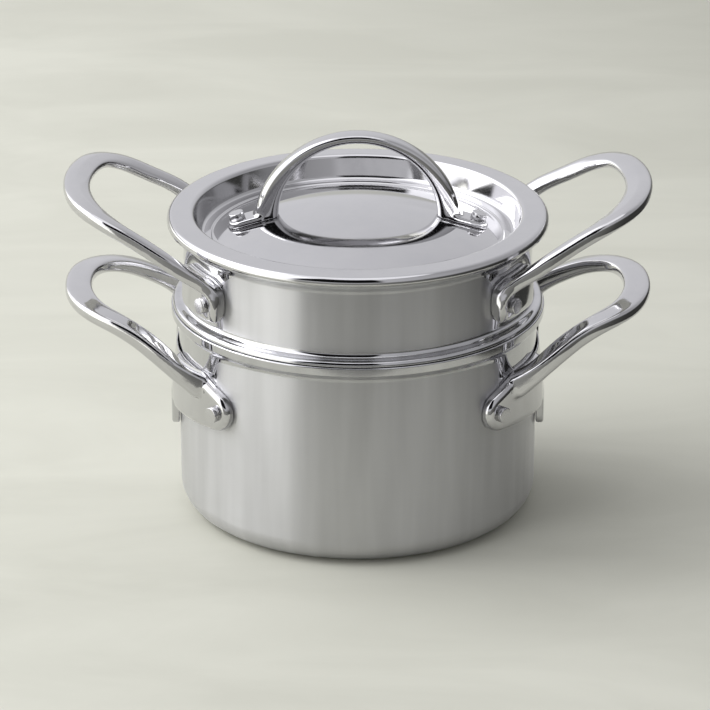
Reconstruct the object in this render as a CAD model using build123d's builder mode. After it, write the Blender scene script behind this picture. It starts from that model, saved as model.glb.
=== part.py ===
from build123d import *
from math import asin, cos, degrees, radians, sin, sqrt
import os

# A double boiler: a clad steel pot, an insert that hangs in its mouth, and a
# lid with an arched handle. The axis is Z, the base stands on Z = 0, and the
# loop handles reach out along X. All lengths are in millimetres.

# Pot shell
pot_inner_radius = 80.0
pot_wall = 2.5
pot_height = 97.9
pot_base_fillet = 11.2
pot_inner_fillet = 8.7
pot_lip_overhang = 3.3
pot_lip_height = 3.7
pot_lip_round = 1.3
pot_cove_height = 3.2
edge_ease = 0.4

# Insert shell
insert_wall = 2.1
insert_flare = 0.3
insert_rise = 41.8
insert_depth = 61.9
insert_base_fillet = 12.0
insert_inner_fillet = 9.9
insert_lip_overhang = 4.1
insert_lip_height = 4.7
insert_cove_height = 3.2
insert_neck_depth = 6.0
insert_neck_taper = 4.0
insert_neck_inset = 2.9
shoulder_overhang = 4.5
shoulder_height = 2.7
shoulder_slope = 0.5
shoulder_crown = 1.1
shoulder_root = 1.2

# Running and seating clearances
seat_gap = 0.2
mouth_gap = 0.4
rivet_fit = 0.05

# Lid sheet: a flat rim with a turned-down skirt, a recess and a domed centre
lid_gauge = 1.5
lid_overhang = 3.2
lid_skirt = 4.4
lid_recess_gap = 1.3
lid_recess_depth = 11.1
lid_recess_slope = 3.2
lid_ring_width = 4.6
lid_ring_step = 0.8
lid_ring_taper = 1.0
lid_edge_round = 1.6
lid_recess_round = 2.2
lid_ring_round = 0.9
dome_radius = 174.0

# Lid handle: a thick arch on two small feet that follow the dome
arch_side = 10.3
arch_crown = 3.3
arch_top_rise = 35.8
arch_width = 10.4
arch_edge_round = 1.4
arch_foot_margin = 6.7
arch_foot_length = 23.5
arch_foot_toe = 11.1
arch_foot_thickness = 3.0
arch_foot_width = 12.0
arch_foot_round = 0.8
lid_rivet_inset = 5.5

# Rivets: a drum-shaped outer head, a shank and a flat inner head
rivet_head_radius = 3.6
rivet_head_height = 3.0
rivet_head_round = 1.0
rivet_shank_radius = 2.4
rivet_inner_radius = 5.0
rivet_inner_height = 1.4
rivet_inner_round = 0.7
lid_rivet_inner_radius = 4.2

# Loop handles: what both pairs share
foot_thickness = 5.0
foot_edge_round = 1.6
foot_corner_round = 5.0
loop_width = 12.4
loop_thickness = 6.0
leg_width = 8.2
root_sink = 2.0

# Pot handles: broad feet, joined behind the loop by a thinner bridge
pot_rivet_angle = 42.7
pot_rivet_drop = 32.7
pot_lobe_radius = 9.3
pot_lobe_shift = 2.1
pot_foot_span = 44.3
pot_foot_rise = 13.8
pot_foot_drop = 12.9
pot_root_angle = 33.0
pot_root_rise = 8.8
pot_root_width = 12.0
pot_root_thickness = 12.0
pot_leg_thickness = 8.3
pot_loop_rise = 40.2
pot_loop_length = 40.7
bridge_gap = 1.2
bridge_thickness = 2.9
bridge_bevel = 6.5
bridge_lap = 4.0
tongue_width = 22.0
tongue_drop = 13.0
tongue_corner_round = 3.0

# Insert handles: smaller feet that stop short of each other
insert_rivet_angle = 35.5
insert_rivet_rise = 15.7
insert_lobe_radius = 7.8
insert_foot_span = 24.1
insert_foot_rise = 12.5
insert_root_angle = 35.3
insert_root_rise = 8.7
insert_root_width = 10.0
insert_root_thickness = 8.6
insert_leg_thickness = 6.8
insert_loop_rise = 41.0
insert_loop_length = 42.9

# One overrun for every cut that passes right through
overrun = 20.0

# Middle line of half a loop, from its root on the foot to the middle of its end:
# shares of the reach beyond the root, of the root's distance sideways and of the rise
pot_loop_shares = [
    (0.000, 1.000, 0.000),
    (0.129, 1.035, 0.191),
    (0.253, 1.022, 0.389),
    (0.430, 0.930, 0.624),
    (0.642, 0.816, 0.822),
    (0.837, 0.650, 0.930),
    (0.960, 0.370, 0.987),
    (1.000, 0.000, 1.000),
]
insert_loop_shares = [
    (0.000, 1.000, 0.000),
    (0.155, 1.048, 0.211),
    (0.305, 1.031, 0.406),
    (0.483, 0.967, 0.604),
    (0.671, 0.900, 0.796),
    (0.840, 0.750, 0.935),
    (0.957, 0.430, 0.993),
    (1.000, 0.000, 1.000),
]
# Evenly spaced sections from the root to the middle of the end: how much of the
# wide root, and how much of the flat loop, each has
root_form_shares = [1.00, 0.15, 0.00, 0.00, 0.00, 0.00, 0.00, 0.00, 0.00]
loop_form_shares = [0.00, 0.00, 0.08, 0.25, 0.52, 0.82, 0.96, 1.00, 1.00]
# Corner radius of a section, as a share of its smaller side
section_round_share = 0.38

# Derived places
pot_radius = pot_inner_radius + pot_wall
neck_radius = pot_inner_radius - mouth_gap
insert_radius = neck_radius + insert_flare
insert_inner_radius = insert_radius - insert_wall
shoulder_seat = pot_height + seat_gap
insert_rim = shoulder_seat + insert_rise
insert_floor = shoulder_seat - insert_depth
insert_lower_radius = neck_radius - insert_neck_inset
lid_top = insert_rim + seat_gap + lid_gauge
lid_radius = insert_radius + insert_lip_overhang + lid_overhang
lid_rim_inner = insert_inner_radius - lid_recess_gap - lid_gauge
recess_radius = lid_rim_inner - lid_recess_slope
recess_floor = lid_top - lid_recess_depth
dome_edge_radius = recess_radius - lid_ring_width - lid_ring_taper
dome_edge_height = recess_floor - lid_ring_step
dome_half_angle = degrees(asin(dome_edge_radius / dome_radius))
dome_center = dome_edge_height - dome_radius * cos(radians(dome_half_angle))
dome_top = dome_center + dome_radius
arch_top = dome_top + arch_top_rise
arch_foot_reach = dome_edge_radius - arch_foot_margin
arch_outer_radius = arch_foot_reach - arch_foot_toe
arch_inner_radius = arch_outer_radius - arch_side
lid_rivet_reach = arch_foot_reach - lid_rivet_inset


def corner_points(outline):
    """The (radius, height) pairs of an outline's corners."""
    return [(radius, height) for radius, height, ease in outline]


def corner_rounds(outline):
    """The fillet radius of each corner of an outline."""
    return [ease for radius, height, ease in outline]


def radial_plane(angle, radius, height):
    """A plane square to the radius at an angle from +X, its y axis upward."""
    outward = Vector(cos(radians(angle)), sin(radians(angle)), 0)
    sideways = Vector(-sin(radians(angle)), cos(radians(angle)), 0)
    place = outward * radius + Vector(0, 0, height)
    return Plane(origin=place, x_dir=sideways, z_dir=outward)


def dome_plane(reach, side):
    """A plane square to the dome's outer face at a reach along X."""
    tilt = asin(reach / dome_radius)
    outward = Vector(side * sin(tilt), 0, cos(tilt))
    place = Vector(0, 0, dome_center) + outward * dome_radius
    return Plane(origin=place, x_dir=(0, 1, 0), z_dir=outward)


pot_outline = [
    (0, 0, 0),
    (pot_radius, 0, pot_base_fillet),
    (pot_radius, pot_height - pot_lip_height - pot_cove_height, pot_cove_height),
    (pot_radius + pot_lip_overhang, pot_height - pot_lip_height, edge_ease),
    (pot_radius + pot_lip_overhang, pot_height, pot_lip_round),
    (pot_inner_radius, pot_height, edge_ease),
    (pot_inner_radius, pot_wall, pot_inner_fillet),
    (0, pot_wall, 0),
]

insert_lip_low = insert_rim - insert_lip_height
shoulder_top = shoulder_seat + shoulder_height
insert_outline = [
    (0, insert_floor, 0),
    (insert_lower_radius, insert_floor, insert_base_fillet),
    (insert_lower_radius, shoulder_seat - insert_neck_depth - insert_neck_taper, insert_neck_taper),
    (neck_radius, shoulder_seat - insert_neck_depth, edge_ease),
    (neck_radius, shoulder_seat, 0),
    (insert_radius + shoulder_overhang, shoulder_seat, edge_ease),
    (insert_radius + shoulder_overhang, shoulder_top - shoulder_slope, shoulder_crown),
    (insert_radius, shoulder_top, shoulder_root),
    (insert_radius, insert_lip_low - insert_cove_height, insert_cove_height),
    (insert_radius + insert_lip_overhang, insert_lip_low, edge_ease),
    (insert_radius + insert_lip_overhang, insert_rim, pot_lip_round),
    (insert_inner_radius, insert_rim, edge_ease),
    (insert_inner_radius, shoulder_seat, insert_neck_taper),
    (insert_lower_radius - insert_wall, shoulder_seat - insert_neck_depth - insert_neck_taper,
     insert_neck_taper),
    (insert_lower_radius - insert_wall, insert_floor + insert_wall, insert_inner_fillet),
    (0, insert_floor + insert_wall, 0),
]

lid_outline = [
    (lid_radius, lid_top - lid_skirt, 0),
    (lid_radius, lid_top, lid_edge_round),
    (lid_rim_inner, lid_top, lid_recess_round),
    (recess_radius, recess_floor, lid_recess_round),
    (recess_radius - lid_ring_width, recess_floor, lid_ring_round),
    (dome_edge_radius, dome_edge_height, 0),
]


def loop_places(shares, root_radius, root_angle, root_height, rise, reach):
    """Points on the middle line of a loop, from one foot round to the other."""
    root_x = root_radius * cos(radians(root_angle))
    root_y = root_radius * sin(radians(root_angle))
    half = []
    for out_share, side_share, rise_share in shares:
        x = root_x + (reach - root_x) * out_share
        half.append((x, root_y * side_share, root_height + rise * rise_share))
    far_half = [(x, y, z) for x, y, z in reversed(half[:-1])]
    return [(x, -y, z) for x, y, z in half] + far_half


def mixed(root_form, loop_form, root_size, leg_size, loop_size):
    """A section's size between the wide root, the slim leg and the flat loop."""
    return leg_size + root_form * (root_size - leg_size) + loop_form * (loop_size - leg_size)


def section_sizes(root_width, root_thickness, leg_thickness):
    """Width and thickness of each section, from one foot round to the other."""
    half = []
    for root_form, loop_form in zip(root_form_shares, loop_form_shares):
        width = mixed(root_form, loop_form, root_width, leg_width, loop_width)
        thickness = mixed(root_form, loop_form, root_thickness, leg_thickness, loop_thickness)
        half.append((width, thickness))
    return half + half[-2::-1]


def bridge_plate(seat_radius, foot_bottom, foot_top, half_span):
    """The thin band between two feet, clear of the wall, with its short tongue."""
    inner = seat_radius + bridge_gap
    outer = inner + bridge_thickness
    tongue_bottom = foot_bottom - tongue_drop
    tongue_height = (foot_top + foot_bottom) / 2 - tongue_bottom
    with BuildPart() as bridge:
        with BuildSketch(radial_plane(0, 0, 0)) as bridge_outline:
            with Locations((0, (foot_bottom + foot_top) / 2)):
                Rectangle(2 * half_span, foot_top - foot_bottom)
            with Locations((0, tongue_bottom + tongue_height / 2)):
                RectangleRounded(tongue_width, tongue_height, tongue_corner_round)
        extrude(amount=outer + overrun)
        with BuildSketch(Plane.XZ) as bridge_section:
            with BuildLine() as bridge_edge:
                FilletPolyline(
                    (inner, tongue_bottom - overrun),
                    (outer, tongue_bottom - overrun),
                    (outer, foot_top - bridge_bevel),
                    (inner + edge_ease, foot_top),
                    (inner, foot_top),
                    radius=[0, 0, bridge_bevel / 2, 0, 0],
                    close=True,
                )
            make_face()
        revolve(axis=Axis.Z, mode=Mode.INTERSECT)
    return bridge.part


def side_handle(seat_radius, rivet_angle, rivet_height, foot_circles, places, sizes, bridge=None):
    """A cast loop handle on the +X side: two feet on the wall and a loop between them."""
    outer_radius = seat_radius + foot_thickness
    path = Spline(*places)
    root_out = Vector(places[0][0], places[0][1], 0).normalized()
    end_out = Vector(places[-1][0], places[-1][1], 0).normalized()
    with BuildPart() as casting:
        with BuildSketch(radial_plane(-rivet_angle, 0, rivet_height)) as foot_outline:
            for sideways, up, radius in foot_circles:
                with Locations((sideways, up)):
                    Circle(radius)
            make_hull()
        extrude(amount=outer_radius + overrun)
        with BuildSketch() as foot_rounding:
            Circle(outer_radius)
        extrude(amount=insert_rim + overrun, mode=Mode.INTERSECT)
        foot_face = casting.faces().filter_by(GeomType.CYLINDER).sort_by(lambda face: face.radius)[-1]
        fillet(foot_face.edges(), foot_edge_round)
        with BuildSketch() as wall_outline:
            Circle(seat_radius)
        extrude(amount=insert_rim + overrun, mode=Mode.SUBTRACT)
        mirror(about=Plane.XZ)
        if bridge:
            add(bridge)
        for index, (width, thickness) in enumerate(sizes):
            distance = path.length * index / (len(sizes) - 1)
            middle = path.position_at(distance, position_mode=PositionMode.LENGTH)
            along = path.tangent_at(distance, position_mode=PositionMode.LENGTH)
            if index == 0:
                along = root_out
            if index == len(sizes) - 1:
                along = end_out * -1
            across = along.cross(Vector(0, 0, 1))
            corner = section_round_share * min(width, thickness)
            with BuildSketch(Plane(origin=middle, x_dir=across, z_dir=along)) as section:
                RectangleRounded(width, thickness, corner)
        loft()
        for side in (-1, 1):
            with BuildSketch(radial_plane(side * rivet_angle, 0, rivet_height)) as rivet_hole:
                Circle(rivet_shank_radius + rivet_fit)
            extrude(amount=outer_radius + overrun, mode=Mode.SUBTRACT)
    return casting.part


def arch_foot(side):
    """A small foot of the lid handle, a slice of a shell that follows the dome."""
    slot_middle = side * (arch_foot_reach - arch_foot_length / 2)
    with BuildPart() as foot:
        with BuildSketch(Plane.XY.offset(dome_edge_height)) as foot_plan:
            with Locations((slot_middle, 0)):
                SlotOverall(arch_foot_length, arch_foot_width)
        extrude(amount=dome_top - dome_edge_height + overrun)
        with Locations((0, 0, dome_center)):
            Sphere(dome_radius + arch_foot_thickness, mode=Mode.INTERSECT)
        top_face = foot.faces().filter_by(GeomType.SPHERE).sort_by(Axis.Z)[-1]
        fillet(top_face.edges(), arch_foot_round)
    return foot.part


def rivet(seat, grip, inner_radius):
    """A rivet whose drum head stands on a seat plane and whose flat head closes the grip."""
    outward = Axis(seat.origin, seat.z_dir)
    with BuildPart() as pin:
        with BuildSketch(seat) as drum_outline:
            Circle(rivet_head_radius)
        extrude(amount=rivet_head_height)
        with BuildSketch(seat.offset(-grip)) as shank_outline:
            Circle(rivet_shank_radius)
        extrude(amount=grip)
        with BuildSketch(seat.offset(-grip)) as button_outline:
            Circle(inner_radius)
        extrude(amount=-rivet_inner_height)
        fillet(pin.faces().sort_by(outward)[-1].edges(), rivet_head_round)
        fillet(pin.faces().sort_by(outward)[0].edges(), rivet_inner_round)
    return pin.part


def wall_grip(outer_radius, inner_radius, button_radius):
    """Grip of a rivet whose flat button lies inside a round wall without cutting it."""
    return outer_radius - sqrt(inner_radius ** 2 - button_radius ** 2)


pot_rivet_height = pot_height - pot_rivet_drop
pot_rivet_angles = [-pot_rivet_angle, pot_rivet_angle, 180 - pot_rivet_angle, 180 + pot_rivet_angle]
insert_rivet_height = shoulder_seat + insert_rivet_rise
insert_rivet_angles = [-insert_rivet_angle, insert_rivet_angle, 180 - insert_rivet_angle,
                       180 + insert_rivet_angle]
rivet_places = ["right_front", "right_back", "left_back", "left_front"]

with BuildPart() as pot_body:
    with BuildSketch(Plane.XZ) as pot_section:
        with BuildLine() as pot_edge:
            FilletPolyline(*corner_points(pot_outline), radius=corner_rounds(pot_outline), close=True)
        make_face()
    revolve(axis=Axis.Z)
    for angle in pot_rivet_angles:
        with BuildSketch(radial_plane(angle, 0, pot_rivet_height)) as pot_hole:
            Circle(rivet_shank_radius + rivet_fit)
        extrude(amount=pot_radius + overrun, mode=Mode.SUBTRACT)

with BuildPart() as insert_body:
    with BuildSketch(Plane.XZ) as insert_section:
        with BuildLine() as insert_edge:
            FilletPolyline(*corner_points(insert_outline), radius=corner_rounds(insert_outline), close=True)
        make_face()
    revolve(axis=Axis.Z)
    for angle in insert_rivet_angles:
        with BuildSketch(radial_plane(angle, 0, insert_rivet_height)) as insert_hole:
            Circle(rivet_shank_radius + rivet_fit)
        extrude(amount=insert_radius + overrun, mode=Mode.SUBTRACT)

with BuildPart() as lid_shell:
    with BuildSketch(Plane.XZ) as lid_section:
        with BuildLine() as lid_edge:
            FilletPolyline(*corner_points(lid_outline), radius=corner_rounds(lid_outline)[1:-1])
            CenterArc((0, dome_center), dome_radius, 90 - dome_half_angle, dome_half_angle)
            offset(amount=lid_gauge, side=Side.LEFT)
        make_face()
    revolve(axis=Axis.Z)
    for side in (-1, 1):
        with BuildSketch(dome_plane(lid_rivet_reach, side).offset(overrun)) as lid_hole:
            Circle(rivet_shank_radius + rivet_fit)
        extrude(amount=-2 * overrun, mode=Mode.SUBTRACT)

arch_feet = [arch_foot(side) for side in (-1, 1)]
with BuildPart() as lid_handle:
    with BuildSketch(Plane.XZ) as arch_section:
        with Locations((0, arch_top - arch_outer_radius)):
            Circle(arch_outer_radius)
        with Locations((0, arch_top - arch_crown - arch_inner_radius)):
            Circle(arch_inner_radius, mode=Mode.SUBTRACT)
    extrude(amount=arch_width / 2, both=True)
    fillet(lid_handle.edges().filter_by(GeomType.CIRCLE), arch_edge_round)
    add(arch_feet)
    with Locations((0, 0, dome_center)):
        Sphere(dome_radius, mode=Mode.SUBTRACT)
    for side in (-1, 1):
        with BuildSketch(dome_plane(lid_rivet_reach, side).offset(overrun)) as arch_hole:
            Circle(rivet_shank_radius + rivet_fit)
        extrude(amount=-2 * overrun, mode=Mode.SUBTRACT)

pot_foot_top = pot_rivet_height + pot_foot_rise
pot_foot_bottom = pot_rivet_height - pot_foot_drop
pot_seat = pot_radius + foot_thickness
pot_root_sideways = pot_seat * sin(radians(pot_rivet_angle - pot_root_angle))
pot_foot_circles = [
    (pot_lobe_shift, 0, pot_lobe_radius),
    (pot_root_sideways, pot_root_rise, pot_root_thickness / 2 - edge_ease),
    (pot_foot_span - foot_corner_round, pot_foot_rise - foot_corner_round, foot_corner_round),
    (pot_foot_span - foot_corner_round, foot_corner_round - pot_foot_drop, foot_corner_round),
]
pot_places = loop_places(
    pot_loop_shares, pot_seat - root_sink, pot_root_angle, pot_rivet_height + pot_root_rise,
    pot_loop_rise - pot_root_rise, pot_seat + pot_loop_length,
)
pot_sizes = section_sizes(pot_root_width, pot_root_thickness, pot_leg_thickness)
pot_inner_end = radians(pot_rivet_angle) - asin(pot_foot_span / pot_seat)
pot_bridge_span = pot_seat * sin(pot_inner_end) + bridge_lap
pot_bridge = bridge_plate(pot_radius, pot_foot_bottom, pot_foot_top, pot_bridge_span)
with BuildPart() as pot_handle_right:
    add(side_handle(pot_radius, pot_rivet_angle, pot_rivet_height, pot_foot_circles, pot_places,
                    pot_sizes, pot_bridge))
with BuildPart() as pot_handle_left:
    mirror(pot_handle_right.part, about=Plane.YZ)

insert_seat = insert_radius + foot_thickness
insert_root_sideways = insert_seat * sin(radians(insert_rivet_angle - insert_root_angle))
insert_foot_circles = [
    (0, 0, insert_lobe_radius),
    (insert_root_sideways, insert_root_rise, insert_root_thickness / 2 - edge_ease),
    (insert_foot_span - foot_corner_round, insert_foot_rise - foot_corner_round, foot_corner_round),
    (insert_foot_span - foot_corner_round, foot_corner_round - insert_lobe_radius, foot_corner_round),
]
insert_places = loop_places(
    insert_loop_shares, insert_seat - root_sink, insert_root_angle, insert_rivet_height + insert_root_rise,
    insert_loop_rise - insert_root_rise, insert_seat + insert_loop_length,
)
insert_sizes = section_sizes(insert_root_width, insert_root_thickness, insert_leg_thickness)
with BuildPart() as insert_handle_right:
    add(side_handle(insert_radius, insert_rivet_angle, insert_rivet_height, insert_foot_circles,
                    insert_places, insert_sizes))
with BuildPart() as insert_handle_left:
    mirror(insert_handle_right.part, about=Plane.YZ)

pieces = {
    "pot_body": pot_body.part,
    "insert_body": insert_body.part,
    "lid_shell": lid_shell.part,
    "lid_handle": lid_handle.part,
    "pot_handle_right": pot_handle_right.part,
    "pot_handle_left": pot_handle_left.part,
    "insert_handle_right": insert_handle_right.part,
    "insert_handle_left": insert_handle_left.part,
}
pot_grip = wall_grip(pot_seat, pot_inner_radius, rivet_inner_radius)
for place, angle in zip(rivet_places, pot_rivet_angles):
    seat = radial_plane(angle, pot_seat, pot_rivet_height)
    pieces["pot_rivet_" + place] = rivet(seat, pot_grip, rivet_inner_radius)
insert_grip = wall_grip(insert_seat, insert_inner_radius, rivet_inner_radius)
for place, angle in zip(rivet_places, insert_rivet_angles):
    seat = radial_plane(angle, insert_seat, insert_rivet_height)
    pieces["insert_rivet_" + place] = rivet(seat, insert_grip, rivet_inner_radius)
lid_grip = wall_grip(dome_radius + arch_foot_thickness, dome_radius - lid_gauge, lid_rivet_inner_radius)
for place, side in (("right", 1), ("left", -1)):
    seat = dome_plane(lid_rivet_reach, side).offset(arch_foot_thickness)
    pieces["lid_rivet_" + place] = rivet(seat, lid_grip, lid_rivet_inner_radius)

os.makedirs("parts", exist_ok=True)
for name, piece in pieces.items():
    piece.label = name
    export_step(piece, "parts/" + name + ".step")
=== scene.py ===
import math
from functools import partial

import bmesh
import bpy
import numpy as np
from bpy.props import FloatProperty, IntProperty, PointerProperty, StringProperty
from mathutils import Matrix, Vector
from mathutils.geometry import convex_hull_2d


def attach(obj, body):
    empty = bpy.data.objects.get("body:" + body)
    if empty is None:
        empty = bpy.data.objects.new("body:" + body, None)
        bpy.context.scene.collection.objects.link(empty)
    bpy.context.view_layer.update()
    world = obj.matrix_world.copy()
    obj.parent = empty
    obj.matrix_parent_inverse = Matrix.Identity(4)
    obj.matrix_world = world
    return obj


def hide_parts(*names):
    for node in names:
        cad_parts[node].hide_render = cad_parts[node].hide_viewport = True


bl_info = {
    "name": "Double boiler",
    "version": (1, 0, 0),
    "blender": (4, 5, 0),
    "location": "View3D > Sidebar > Double boiler",
    "description": "Builds the polished and brushed steel pieces of a double boiler on its packed frame",
    "category": "Object",
}

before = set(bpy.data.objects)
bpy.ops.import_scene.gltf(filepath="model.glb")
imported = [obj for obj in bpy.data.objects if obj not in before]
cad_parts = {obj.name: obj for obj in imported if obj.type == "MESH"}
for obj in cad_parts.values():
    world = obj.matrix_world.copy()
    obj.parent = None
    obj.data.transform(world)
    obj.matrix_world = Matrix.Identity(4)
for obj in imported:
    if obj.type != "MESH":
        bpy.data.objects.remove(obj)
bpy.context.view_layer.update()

MM = 0.001
NEAR_AND_FAR = (-1, 1)
SIDES = (("right", 0), ("left", math.pi))
# On which side of its handle's middle each rivet sits
CORNER_SIGNS = {"right_front": -1, "right_back": 1, "left_back": -1, "left_front": 1}

# Middle lines of half a loop, as shares of its reach, of its root's distance
# sideways and of its rise
POT_LOOP_SHARES = [
    (0.000, 1.000, 0.000), (0.129, 1.035, 0.191), (0.253, 1.022, 0.389), (0.430, 0.930, 0.624),
    (0.642, 0.816, 0.822), (0.837, 0.650, 0.930), (0.960, 0.370, 0.987), (1.000, 0.000, 1.000),
]
INSERT_LOOP_SHARES = [
    (0.155, 1.048, 0.211), (0.305, 1.031, 0.406), (0.483, 0.967, 0.604),
    (0.671, 0.900, 0.796), (0.840, 0.750, 0.935), (0.957, 0.430, 0.993), (1.000, 0.000, 1.000),
]
# The insert's legs end in a hook round the rivet: along the wall, up and off the wall, in millimetres
INSERT_HOOK = [(-5.2, -5.6, 2.4), (-6.7, -2.0, 3.4), (-6.8, 3.2, 3.8), (-4.4, 8.0, 4.8)]
# How much of the root's form, and of the flat loop, evenly spaced sections have
ROOT_FORM_SHARES = [1.00, 0.15, 0.00, 0.00, 0.00, 0.00, 0.00, 0.00, 0.00]
HOOK_FORM_SHARES = [1.00, 0.60, 0.08, 0.00, 0.00, 0.00, 0.00, 0.00, 0.00]
HOOKED_LOOP_SHARES = [0.00, 0.00, 0.01, 0.13, 0.36, 0.69, 0.92, 0.99, 1.00]
LOOP_FORM_SHARES = [0.00, 0.00, 0.08, 0.25, 0.52, 0.82, 0.96, 1.00, 1.00]
# How boxy the sections of the loops and of the lid's arch are: 0 is a box, 1 an ellipse
LOOP_FULLNESS, ARCH_FULLNESS = 0.48, 0.60
# A shoulder slopes a section's inner top, by its fall from its start; sections face the axis where a
# path climbs more steeply than STEEP_START
SHOULDER_FALL, SHOULDER_START = 0.84, 0.3
STEEP_START, STEEP_GAIN = 0.6, 2.5
# Half the angle that the lid's arch spans, and where its feet start to flare, in radians
ARCH_ANGLE, FLARE_START = 1.46, 0.9

# The camera, the lamp and the floor, in metres and degrees; reflections see the floor only as far as a
# board's right and front edges
CAMERA_PLACE, CAMERA_TILT, CAMERA_LENS = (-0.00129, -1.6924, 0.7626), 22.27, 200.15
WINDOW_PLACE, WINDOW_SIZE, WINDOW_POWER = (-1.0, 0.16, 0.86), 0.85, 7.5
FLOOR_REACH, BOARD_RIGHT, BOARD_FRONT = 6, 0.29, -0.31
# Tones round the studio: degrees from the camera's side of the object, left being negative, and brightness
LOW_TONES = [(-180, 0.62), (-150, 0.85), (-138, 2.10), (-60, 2.05), (-42, 1.60), (-36, 0.36),
             (13, 0.24), (19, 0.20), (60, 0.08), (85, 0.05), (140, 0.05), (160, 0.30), (180, 0.62)]
LEDGE_TONES = [(-180, 0.80), (-150, 0.88), (-138, 2.10), (-42, 1.70), (-36, 0.66), (13, 0.60),
               (19, 0.45), (60, 0.30), (85, 0.24), (140, 0.35), (160, 0.60), (180, 0.80)]
HIGH_TONES = [(-180, 0.80), (-150, 0.90), (-135, 2.10), (-42, 1.80), (-37, 0.010), (13, 0.008),
              (17, 0.62), (60, 0.50), (100, 0.42), (140, 0.60), (160, 0.74), (180, 0.80)]


def length(name, description, millimetres):
    """A size in the sidebar, given in millimetres and kept in metres."""
    return FloatProperty(name=name, description=description, default=millimetres * MM, unit="LENGTH",
                         precision=5)


def colour(name, description, code):
    """A colour in the sidebar, as an sRGB hex code."""
    return StringProperty(name=name, description=description, default=code)


def bearing(name, description, degrees):
    """An angle in the sidebar, given in degrees."""
    return FloatProperty(name=name, description=description, default=math.radians(degrees), subtype="ANGLE")


class PotSizes(bpy.types.PropertyGroup):
    """Sizes of the pot's turned shell"""
    inner_radius: length("Inner radius", "Radius of the pot's mouth", 80.0)
    wall: length("Wall", "Thickness of the clad wall", 2.5)
    height: length("Height", "From the base to the rim", 97.9)
    base_round: length("Base round", "Outer radius where the wall turns into the base", 11.2)
    inner_round: length("Inner round", "Inner radius where the wall turns into the base", 8.7)
    lip_overhang: length("Lip overhang", "How far the lip stands out of the wall", 3.3)
    lip_height: length("Lip height", "Height of the lip's outer face", 3.7)
    lip_round: length("Lip round", "Radius on the lip's top edge", 0.6)
    cove: length("Cove", "Radius under the lip", 3.2)


class InsertSizes(bpy.types.PropertyGroup):
    """Sizes of the insert's turned shell"""
    inner_radius: length("Inner radius", "Radius of the insert's mouth", 77.8)
    wall: length("Wall", "Thickness of the wall", 2.1)
    seat: length("Seat height", "Height at which the shoulder rests on the pot", 98.1)
    rise: length("Rise", "From the seat to the insert's rim", 41.8)
    depth: length("Depth", "From the seat down to the floor", 61.9)
    neck_radius: length("Neck radius", "Outer radius that fits the pot's mouth", 79.6)
    neck_inset: length("Neck inset", "How much slimmer the part below the neck is", 2.9)
    neck_depth: length("Neck depth", "Height of the neck below the seat", 6.0)
    neck_taper: length("Neck taper", "Height over which the neck slims down", 4.0)
    base_round: length("Base round", "Outer radius at the floor", 12.0)
    inner_round: length("Inner round", "Inner radius at the floor", 9.9)
    lip_overhang: length("Lip overhang", "How far the lip stands out of the wall", 4.1)
    lip_height: length("Lip height", "Height of the lip's outer face", 4.7)
    lip_round: length("Lip round", "Radius on the lip's top edge", 1.3)
    cove: length("Cove", "Radius under the lip", 3.2)
    shoulder_overhang: length("Shoulder overhang", "How far the seating bead stands out", 5.2)
    shoulder_height: length("Shoulder height", "Height of the seating bead", 2.6)
    shoulder_slope: length("Shoulder slope", "Fall of the bead's top towards its edge", 0.2)
    shoulder_crown: length("Shoulder crown", "Radius on the bead's edge", 2.0)
    shoulder_root: length("Shoulder root", "Radius where the bead meets the wall", 2.4)


class LidSizes(bpy.types.PropertyGroup):
    """Sizes of the pressed lid and its arched handle"""
    radius: length("Radius", "Outer radius of the lid's rim", 87.2)
    top: length("Top", "Height of the rim's flat face", 141.6)
    gauge: length("Gauge", "Thickness of the pressed sheet", 1.5)
    skirt: length("Skirt", "Height of the turned-down edge", 4.4)
    rim_width: length("Rim width", "Width of the flat rim", 12.2)
    rim_fall: length("Rim fall", "How much lower the rim's outer edge is", 0.75)
    recess_depth: length("Recess depth", "From the rim down to the ring", 11.1)
    recess_slope: length("Recess slope", "How far the recess wall leans in", 3.2)
    ring_width: length("Ring width", "Width of the flat ring at the recess floor", 4.6)
    ring_step: length("Ring step", "Small step down to the dome", 0.8)
    ring_taper: length("Ring taper", "Width of that step", 1.0)
    edge_round: length("Edge round", "Radius of the rim's outer edge", 2.8)
    recess_round: length("Recess round", "Radii of the recess wall", 2.2)
    ring_round: length("Ring round", "Radius of the small step", 0.9)
    dome_radius: length("Dome radius", "Radius of the domed centre", 174.0)
    arch_outer: length("Arch outer radius", "Outer radius of the handle's arch", 48.4)
    arch_inner: length("Arch inner radius", "Radius of the finger gap", 36.8)
    arch_crown: length("Arch crown", "Thickness of the arch at its top", 4.6)
    arch_rise: length("Arch rise", "From the dome to the arch's top", 35.8)
    arch_width: length("Arch width", "Width of the arch", 10.4)
    leg_flare: length("Leg flare", "How much the arch thickens inward at its feet", 1.2)
    foot_reach: length("Foot reach", "Outer end of the handle's feet", 59.5)
    foot_inside: length("Foot inside", "Inner end of the handle's feet", 39.5)
    foot_width: length("Foot width", "Width of the handle's feet", 12.0)
    foot_thickness: length("Foot thickness", "Thickness of the handle's feet", 3.0)
    rivet_reach: length("Rivet reach", "Distance of the rivets from the axis", 54.0)


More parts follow.
